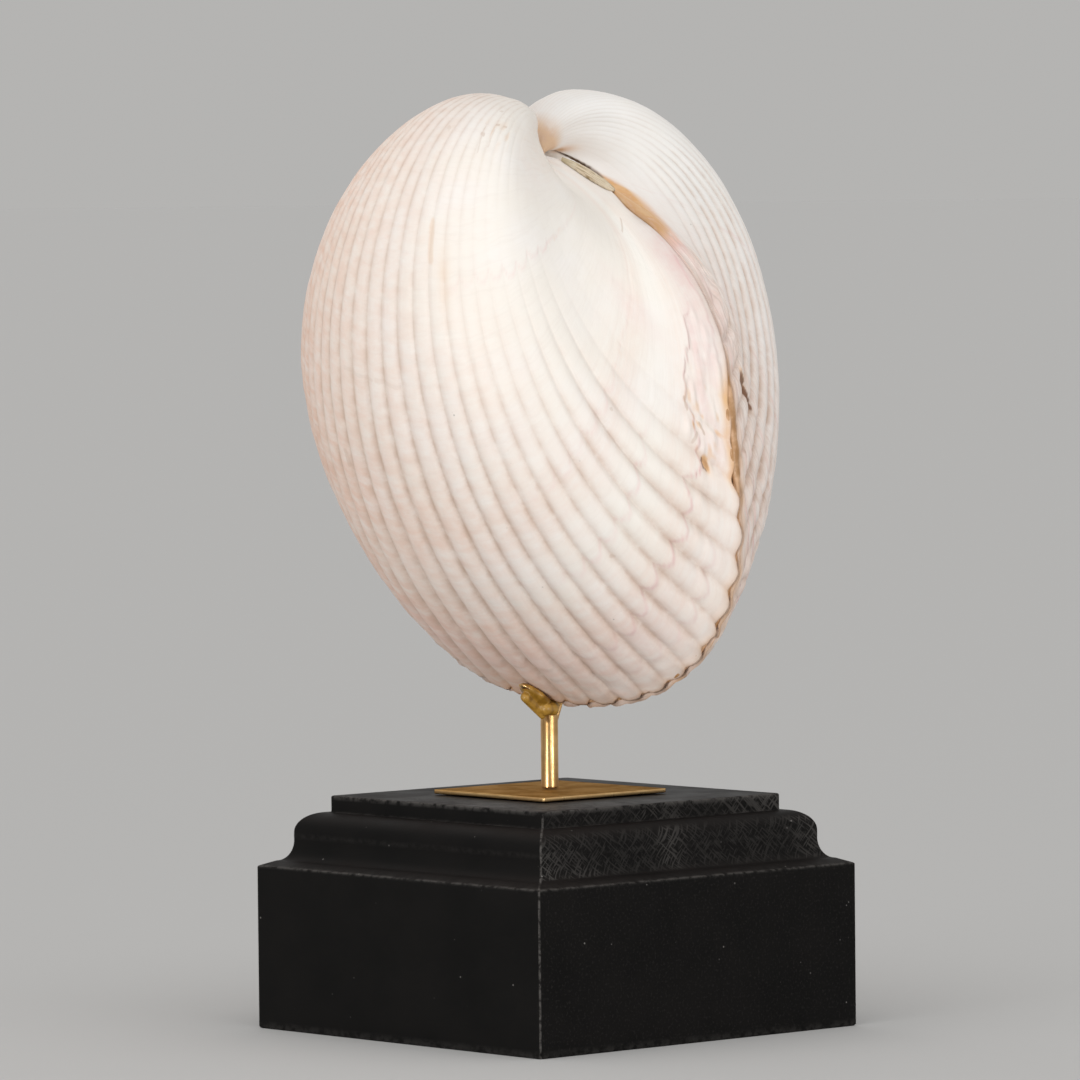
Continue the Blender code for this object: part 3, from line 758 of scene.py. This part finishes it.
def square_ring(half, height, wear):
    """Points round a square with rounded corners, and how worn each one is."""
    short = CORNER_STRIP / (2 * half)
    edge = half - CORNER
    side = [(half, -edge + 2 * edge * share, wear) for share in (0, short, 0.2, 0.5, 0.8, 1 - short, 1)]
    arc = [(edge + CORNER * math.cos(a), edge + CORNER * math.sin(a), 1)
           for a in np.linspace(0, math.pi / 2, 5)[1:-1]]
    points = [(x * math.cos(a) - y * math.sin(a), x * math.sin(a) + y * math.cos(a), height)
              for a in circle(4) for x, y, _ in side + arc]
    return points, [mark for *_, mark in side + arc] * 4


def build_plinth(finish):
    rings, worn = [], []
    for half, height, wear in plinth_outline():
        points, marks = square_ring(half, height, wear)
        rings.append(np.array(points) * MM)
        worn += marks
    mesh = mesh_of("plinth_body", *loft(rings))
    put_attribute(mesh, "worn", worn)
    mesh.set_sharp_from_angle(angle=math.radians(55))
    add_piece("plinth_body", mesh, finish, "wooden_plinth")


# ---- materials ----
class Nodes:
    """Short hand for building one material's node tree."""

    def __init__(self, name):
        self.material = bpy.data.materials.new(name)
        self.material.use_nodes = True
        self.tree = self.material.node_tree
        self.shader = self.tree.nodes["Principled BSDF"]

    def set(self, socket, value):
        """Link a node's output to a socket, or set a number, vector or colour."""
        if isinstance(value, bpy.types.NodeSocket):
            self.tree.links.new(value, socket)
        else:
            socket.default_value = (*value, 1) if socket.type == "RGBA" else value

    def add(self, kind, inputs, output=0, **settings):
        """One output of a new node, with its inputs by name or number."""
        node = self.tree.nodes.new("ShaderNode" + kind)
        for key, value in settings.items():
            setattr(node, key, value)
        for key, value in inputs.items():
            self.set(node.inputs[key], value)
        return node.outputs[output]

    def attribute(self, name):
        return self.add("Attribute", {}, "Fac", attribute_name=name)

    def position(self):
        return self.add("TexCoord", {}, "Object")

    def math(self, operation, a, b=0, clamp=False):
        return self.add("Math", {0: a, 1: b}, operation=operation, use_clamp=clamp)

    def times(self, a, b, clamp=False):
        return self.math("MULTIPLY", a, b, clamp)

    def plus(self, a, b):
        return self.math("ADD", a, b)

    def less(self, a, b):
        return self.math("SUBTRACT", a, b)

    def part(self, vector, axis):
        return self.add("SeparateXYZ", {0: vector}, axis)

    def combine(self, x, y):
        return self.add("CombineXYZ", {0: x, 1: y})

    def mapped(self, vector, **how):
        return self.add("Mapping", {"Vector": vector, **how})

    def noise(self, vector, scale, detail=3, roughness=0.55):
        inputs = {"Vector": vector, "Scale": scale, "Detail": detail, "Roughness": roughness}
        return self.add("TexNoise", inputs, "Fac")

    def ramp(self, value, low, high, start=0, end=1):
        inputs = {"Value": value, "From Min": low, "From Max": high, "To Min": start, "To Max": end}
        return self.add("MapRange", inputs, "Result", interpolation_type="SMOOTHSTEP")

    def mix(self, share, first, second):
        return self.add("Mix", {0: share, 6: first, 7: second}, 2, data_type="RGBA")

    def paint(self, share, colour):
        """Lay a colour over those painted so far."""
        self.colour = self.mix(share, self.colour, colour)

    def specks(self, spot, scale, size, where, colour, strength=1):
        """Scattered specks; size is their range for ramp, where the scale and range of their patches."""
        cells = self.add("TexVoronoi", {"Vector": spot, "Scale": scale}, "Distance")
        patches = self.ramp(self.noise(spot, where[0], 1), *where[1:], 0, strength)
        self.paint(self.times(self.ramp(cells, *size, 1, 0), patches), colour)

    def stroke(self, place, start, end, thick):
        """1 on the line between two points of the plane given by a pair of values, 0 beside it."""
        span = (end[0] - start[0], end[1] - start[1])
        squared = span[0] ** 2 + span[1] ** 2
        off = [self.less(value, first) for value, first in zip(place, start)]
        parts = [self.times(value, length / squared) for value, length in zip(off, span)]
        share = self.math("ADD", *parts, clamp=True)
        off = [self.less(value, self.times(share, length)) for value, length in zip(off, span)]
        squares = [self.times(value, value) for value in off]
        return self.ramp(self.math("SQRT", self.plus(*squares)), 0.3 * thick, 0.75 * thick, 1, 0)

    def bump(self, height, distance, strength, **below):
        return self.add("Bump", {"Height": height, "Distance": distance, "Strength": strength, **below})

    def shade(self, **inputs):
        """Set inputs of the shader, with _ for a space in their names."""
        for key, value in inputs.items():
            self.set(self.shader.inputs[key.replace("_", " ")], value)

    def finish(self, roughness, **more):
        """The material, with the colours painted so far."""
        self.shade(Base_Color=self.colour, Roughness=roughness, **more)
        return self.material


# cream and white of each valve
PLAIN = {"left": ((0.865, 0.825, 0.765), (0.875, 0.845, 0.81)),
         "right": ((0.895, 0.87, 0.835), (0.905, 0.893, 0.877))}
# the first colour is a warm tint that also stands in for shade low on the shell
TAN_AND_SHADE, ROSE, FINE_LINE = (0.8, 0.565, 0.455), (0.8, 0.555, 0.535), (0.72, 0.6, 0.52)
# the second colour is dust in the grooves that also serves as painted shade there
OLD_RIM, GROOVE_DUST_AND_SHADE, SPECK = (0.5, 0.41, 0.355), (0.54, 0.39, 0.305), (0.24, 0.2, 0.17)
# the dark brown is a line along the seam and also painted shade in the hinge gap
AMBERS, BROWN_AND_SHADE = ((0.7, 0.375, 0.15), (0.76, 0.48, 0.25)), (0.15, 0.08, 0.042)
OCHRE_MARK, FAINT_MARK, DARK_MARK = (0.7, 0.42, 0.2), (0.52, 0.38, 0.29), (0.2, 0.09, 0.045)

# marks on each valve: angle and distance from the margin at both ends, width and strength
DARK_MARKS = {
    "left": ((86.3, 13.5, 85.3, 14.2, 0.8, 0.7), (85.3, 14.2, 84.3, 14, 0.9, 0.75),
             (84.3, 14, 84.2, 12.6, 0.8, 0.5)),
    "right": ((104, 15.1, 98.8, 20.2, 2.8, 0.85), (98.8, 20.2, 95.3, 22.3, 2.1, 0.95),
              (95.3, 22.3, 90.4, 28, 1.7, 0.9)),
}
FAINT_MARKS = {
    "left": ((97.4, 22, 95.3, 20.6, 1, 0.5), (93.9, 14.9, 92.4, 13.2, 1, 0.55),
             (91.3, 16.2, 88.4, 18.1, 0.9, 0.4), (150.3, 22, 141.2, 39.5, 0.9, 0.4),
             (-18.4, 78.8, -3.2, 78.2, 0.8, 0.15), (-1.5, 78.4, 9.9, 77.5, 0.8, 0.15),
             (-24.6, 60, -24, 57.2, 1.4, 0.35), (76.3, 50.4, 76.9, 49.8, 0.8, 0.3),
             (51.4, 31.3, 52, 30.8, 0.7, 0.3), (39.3, 130.9, 41.5, 124.2, 0.9, 0.22),
             (46.6, 130.6, 46.8, 126.1, 0.9, 0.22), (45.8, 132.8, 47.8, 132.8, 0.9, 0.4),
             (51.8, 132.8, 53.8, 132.8, 0.8, 0.35), (39.2, 129, 41.2, 128.8, 0.9, 0.4),
             (41.6, 137.5, 43.6, 137.5, 0.8, 0.3), (13.4, 129.2, 16, 128.6, 0.9, 0.2)),
    "right": ((92, 25, 86, 29.5, 0.9, 0.3),),
}
OCHRE_MARKS = {
    "left": ((26.1, 107.9, 26.8, 101.8, 2.4, 0.22), (86.3, 12.4, 85.2, 12, 2.3, 0.85)),
    "right": ((104.6, 15.6, 99.6, 20.4, 3.6, 0.45),),
}


def marks_of(n, marks, place):
    """The strongest of several strokes at each point."""
    strokes = [n.times(n.stroke(place, ends[:2], ends[2:], thick), strength)
               for *ends, thick, strength in marks]
    return functools.reduce(lambda one, other: n.math("MAXIMUM", one, other), strokes)


def shell_material(name):
    n = Nodes(f"shell_white_worn_{name}")
    tan_and_shade, grown, around = n.attribute("tan_and_shade"), n.attribute("grown"), n.attribute("around")
    spot = n.position()
    bands = n.noise(n.combine(n.times(grown, 0.5), n.times(around, 0.09)), 1, 4, 0.6)
    lines = n.noise(n.combine(n.times(grown, 2.6), n.times(around, 0.3)), 1, 3, 0.6)
    cloud = n.noise(spot, 45, 4)
    mottle = n.noise(spot, 260, 4, 0.6)
    grain = n.noise(spot, 2400, 2, 0.5)
    n.colour = n.mix(n.ramp(cloud, 0.35, 0.68), *PLAIN[name])
    uneven = n.plus(n.ramp(bands, 0.25, 0.75, 0.5, 1.15), n.ramp(mottle, 0.3, 0.7, -0.15, 0.2))
    # warm tint low down: partly the shell's own, partly painted shade
    n.paint(n.times(tan_and_shade, uneven, clamp=True), TAN_AND_SHADE)
    n.paint(n.times(n.attribute("rosy"), n.ramp(mottle, 0.25, 0.7, 0.55, 1.1), clamp=True), ROSE)
    n.paint(n.ramp(lines, 0.55, 0.78, 0, 0.1), FINE_LINE)
    waved = n.plus(n.times(grown, 0.95), n.times(n.noise(spot, 150, 2), 3))
    old_rims = n.noise(n.combine(waved, n.times(around, 0.035)), 1, 3, 0.6)
    n.paint(n.times(n.attribute("lined"), n.ramp(old_rims, 0.48, 0.66, 0, 0.42)), OLD_RIM)
    # grooves darkened: partly dust, partly painted shade in the grooves
    groove_dust_and_shade = n.times(n.less(1, n.attribute("crest")), n.ramp(mottle, 0.25, 0.7, 0.2, 0.66))
    n.paint(n.times(groove_dust_and_shade, n.ramp(tan_and_shade, 0, 0.45, 0.75, 1.4)), GROOVE_DUST_AND_SHADE)
    stain = n.times(n.attribute("amber"), n.ramp(mottle, 0.2, 0.62, 0.6, 1.15), clamp=True)
    n.paint(stain, n.mix(n.ramp(mottle, 0.4, 0.6), *AMBERS))
    # darker brown along the seam, and painted shade in the gap beside the ligament
    n.paint(n.times(n.attribute("brown_and_shade"), n.ramp(mottle, 0.2, 0.6, 0.6, 1.1), clamp=True), BROWN_AND_SHADE)
    shaken = n.times(n.less(n.noise(spot, 420), 0.5), 1.3)
    place = (n.plus(around, shaken), n.less(grown, shaken))
    for marks, colour in ((OCHRE_MARKS, OCHRE_MARK), (FAINT_MARKS, FAINT_MARK), (DARK_MARKS, DARK_MARK)):
        n.paint(marks_of(n, marks[name], place), colour)
    n.specks(spot, 330, (0.05, 0.1), (80, 0.66, 0.74), SPECK, 0.5)
    relief = n.bump(lines, 0.00012, 0.16)
    relief = n.bump(mottle, 0.0002, 0.2, Normal=relief)
    relief = n.bump(grain, 0.00003, 0.25, Normal=relief)
    return n.finish(n.ramp(cloud, 0.3, 0.7, 0.46, 0.6), Normal=relief, Specular_IOR_Level=0.35)


DARK_FIBRE, PALE_FIBRE = (0.38, 0.27, 0.14), (0.78, 0.66, 0.49)
FIBRE_DUST, OLIVE = (0.82, 0.75, 0.62), (0.42, 0.36, 0.19)


def ligament_material():
    n = Nodes("dried_ligament_fibres")
    down = n.attribute("down")
    streaks = n.noise(n.combine(n.times(n.attribute("across"), 5), n.times(down, 3.5)), 1, 4, 0.6)
    n.colour = n.mix(n.ramp(streaks, 0.34, 0.56), DARK_FIBRE, PALE_FIBRE)
    n.paint(n.ramp(n.noise(n.position(), 260), 0.45, 0.7, 0, 0.6), FIBRE_DUST)
    n.paint(n.ramp(down, 0.45, 0, 0, 0.55), OLIVE)
    return n.finish(0.62, Normal=n.bump(streaks, 0.0002, 0.5))


def glue_material(name, dark, light):
    n = Nodes(name)
    patches = n.noise(n.position(), 300)
    n.colour = n.mix(n.ramp(patches, 0.35, 0.65), dark, light)
    return n.finish(0.36, Normal=n.bump(patches, 0.0003, 0.4), IOR=1.5)


# the first colour is painted on the plate's top as its dark reflection
TOP_DARK_REFLECTION, TOP_TINT = (0.235, 0.125, 0.028), (0.85, 0.52, 0.22)


def brass_material(name, brushed, bright, dull, dark_top=None):
    """Satin brass with fine lines, scaled along each axis by brushed; the optional last colour is painted on
    a dulled top as a dark reflection.
    """
    n = Nodes(name)
    spot = n.position()
    lines = n.noise(n.mapped(spot, Scale=brushed), 1, 3, 0.6)
    tarnish = n.noise(spot, 170, 4, 0.6)
    n.colour = n.mix(n.ramp(tarnish, 0.35, 0.7), bright, dull)
    rough = n.plus(n.ramp(tarnish, 0.3, 0.7, 0.22, 0.34), n.times(lines, 0.1))
    n.shade(Metallic=1.0)
    if dark_top:
        upward = n.ramp(n.part(n.add("NewGeometry", {}, "Normal"), "Z"), 0.8, 0.99)
        # painted reflection: the top faces coloured darker, as if reflecting dark surroundings
        n.paint(n.times(upward, n.ramp(tarnish, 0.3, 0.75, 0.75, 1)), dark_top)
        rough = n.plus(rough, n.times(upward, 0.35))
        n.shade(Metallic=n.less(1, n.times(upward, 0.3)), Specular_IOR_Level=0.2, Specular_Tint=TOP_TINT)
    return n.finish(rough, Normal=n.bump(lines, 0.00004, 0.35))


BLACKS = ((0.0038, 0.0036, 0.0034), (0.0068, 0.0062, 0.0058))
PORE, WOOD_DUST, SCRATCH = (0.018, 0.0165, 0.0155), (0.0115, 0.0095, 0.0088), (0.056, 0.052, 0.049)
RUBBED, WOOD_SPECK = (0.105, 0.098, 0.092), (0.22, 0.21, 0.2)


def plinth_material():
    n = Nodes("black_painted_wood")
    spot = n.position()
    facing = n.add("NewGeometry", {}, "Normal")
    upward = n.ramp(n.part(facing, "Z"), 0.35, 0.95)
    endgrain = n.ramp(n.math("ABSOLUTE", n.part(facing, "X")), 0.45, 0.75)
    moulded = n.ramp(n.part(spot, "Z"), (BLOCK_TOP - 0.1) * MM, (LEDGE_TOP + 0.8) * MM)
    cloud = n.noise(spot, 60, 4, 0.6)
    grain = n.noise(n.mapped(spot, Scale=(90, 90, 1300)), 1, 3, 0.6)
    n.colour = n.mix(n.ramp(cloud, 0.3, 0.7), *BLACKS)
    n.paint(n.times(n.ramp(n.noise(spot, 1500, 2, 0.6), 0.52, 0.75), n.times(endgrain, 0.8)), PORE)
    n.paint(n.times(upward, n.ramp(cloud, 0.2, 0.75, 0.5, 1)), WOOD_DUST)
    # crossed tool marks on the end-grain mouldings
    hatch = []
    for slant in (0.75, -0.85):
        across = n.mapped(n.mapped(spot, Rotation=(slant, 0, 0)), Scale=(40, 2400, 270))
        hatch.append(n.ramp(n.noise(across, 1, 1, 0.5), 0.52, 0.66))
    marked = n.times(n.times(endgrain, moulded), n.ramp(n.noise(spot, 28, 2, 0.5), 0.36, 0.58, 0.3, 1))
    scratched = n.times(n.math("MAXIMUM", *hatch), marked)
    n.paint(n.times(scratched, 0.9), SCRATCH)
    rubbed = n.times(n.attribute("worn"), n.ramp(n.noise(spot, 500, 3, 0.7), 0.36, 0.6))
    n.paint(n.times(rubbed, 0.7), RUBBED)
    n.specks(spot, 420, (0.06, 0.12), (260, 0.63, 0.73), WOOD_SPECK)
    relief = n.bump(scratched, 0.0001, 0.3, Normal=n.bump(grain, 0.00006, 0.3))
    return n.finish(n.ramp(cloud, 0.3, 0.7, 0.5, 0.66), Normal=relief, Specular_IOR_Level=0.07)


# ---- surroundings ----
ROOM = (0.46, 0.455, 0.445)
FLOOR, FLOOR_RADIUS = (0.523, 0.52, 0.515), 60
LAMP_AWAY, LAMP_HEIGHT, LAMP_SIZE = 0.68, 0.03, 0.24
LAMP_AIM = 0.13  # height that the low lamps aim at
CAMERA_AZIMUTH, CAMERA_PITCH, CAMERA_ROLL = 48.18, 2.59, 0.56
CAMERA_AWAY, CAMERA_ASIDE, CAMERA_HEIGHT = 1.881, -0.0029, 0.2001
SENSOR = 36
LENS = 8000 / 1080 * SENSOR
UP = Vector((0, 0, 1))


def build_floor():
    n = Nodes("pale_floor")
    n.colour = FLOOR
    bpy.ops.mesh.primitive_circle_add(vertices=96, radius=FLOOR_RADIUS, fill_type="NGON")
    floor = bpy.context.object
    floor.name = "floor"
    floor.data.materials.append(n.finish(0.9, Specular_IOR_Level=0.0))


def add_camera():
    """A long lens, looking slightly down on the hind end of the left valve."""
    azimuth = math.radians(CAMERA_AZIMUTH)
    back = Vector((math.sin(azimuth), -math.cos(azimuth), 0))
    right = Vector((math.cos(azimuth), math.sin(azimuth), 0))
    matrix = Matrix.Translation(back * CAMERA_AWAY + right * CAMERA_ASIDE + UP * CAMERA_HEIGHT)
    for angle, axis in ((CAMERA_AZIMUTH, "Z"), (90 - CAMERA_PITCH, "X"), (-CAMERA_ROLL, "Z")):
        matrix = matrix @ Matrix.Rotation(math.radians(angle), 4, axis)
    data = bpy.data.cameras.new("camera")
    data.sensor_width = SENSOR
    data.lens = LENS
    data.clip_end = 200
    camera = link("camera", data)
    camera.matrix_world = matrix
    bpy.context.scene.camera = camera
    return back, right


def add_world():
    """A plain grey room, as bright as the lit floor, so that the two meet without an edge."""
    world = bpy.data.worlds.new("studio")
    world.use_nodes = True
    world.node_tree.nodes["Background"].inputs["Color"].default_value = (*ROOM, 1)
    bpy.context.scene.world = world


def add_lamp(name, kind, towards, strength, **settings):
    """A lamp that shines from the direction towards."""
    light = bpy.data.lights.new(name, kind)
    light.energy = strength
    for key, value in settings.items():
        setattr(light, key, value)
    lamp = link(name, light)
    lamp.rotation_euler = towards.to_track_quat("Z", "Y").to_euler()
    return lamp


def light_up(back, right):
    """Even light from wide discs, and two small low lamps that lift the shell's underside."""
    suns = (("top", UP + back * 0.3, 60, 1.08), ("key", back - right * 0.3 + UP * 0.55, 50, 0.12),
            ("left", back * 0.5 - right + UP * 0.3, 60, 0.12),
            ("right", back * 0.55 + right + UP * 0.15, 60, 0.12),
            ("rear", -back - right * 0.3 + UP * 0.6, 60, 0.3))
    for name, towards, spread, strength in suns:
        add_lamp(name, "SUN", towards, strength, angle=math.radians(spread))
    for name, aside, strength in (("low_left", -0.52, 0.78), ("low_right", 0.55, 0.53)):
        place = back * LAMP_AWAY + right * aside + UP * LAMP_HEIGHT
        lamp = add_lamp(name, "AREA", place - UP * LAMP_AIM, strength, shape="DISK",
                        size=LAMP_SIZE, spread=math.radians(80))
        lamp.location = place
        lamp.visible_camera = False


# ---- put together ----
SEAM_GLUE = ((0.42, 0.22, 0.09), (0.66, 0.41, 0.24))
FORK_GLUE = ((0.25, 0.125, 0.012), (0.56, 0.32, 0.06))
ROD_BRASS = ((0.8, 0.51, 0.225), (0.6, 0.36, 0.145))
PLATE_BRASS = ((0.84, 0.57, 0.27), (0.66, 0.41, 0.18))

back, right = add_camera()
add_world()
light_up(back, right)
build_floor()

for valve in SIDES:
    build_valve(valve, shell_material(valve))
build_ligament(ligament_material())
build_seam_glue(glue_material("old_seam_glue", *SEAM_GLUE))
build_fork_glue(glue_material("old_fork_glue", *FORK_GLUE))
build_rod(brass_material("satin_brass_rod", (1500, 1500, 90), *ROD_BRASS))
build_plate(brass_material("satin_brass_plate", (70, 1500, 300), *PLATE_BRASS, TOP_DARK_REFLECTION))
build_plinth(plinth_material())

bpy.context.scene.view_settings.view_transform = "Standard"
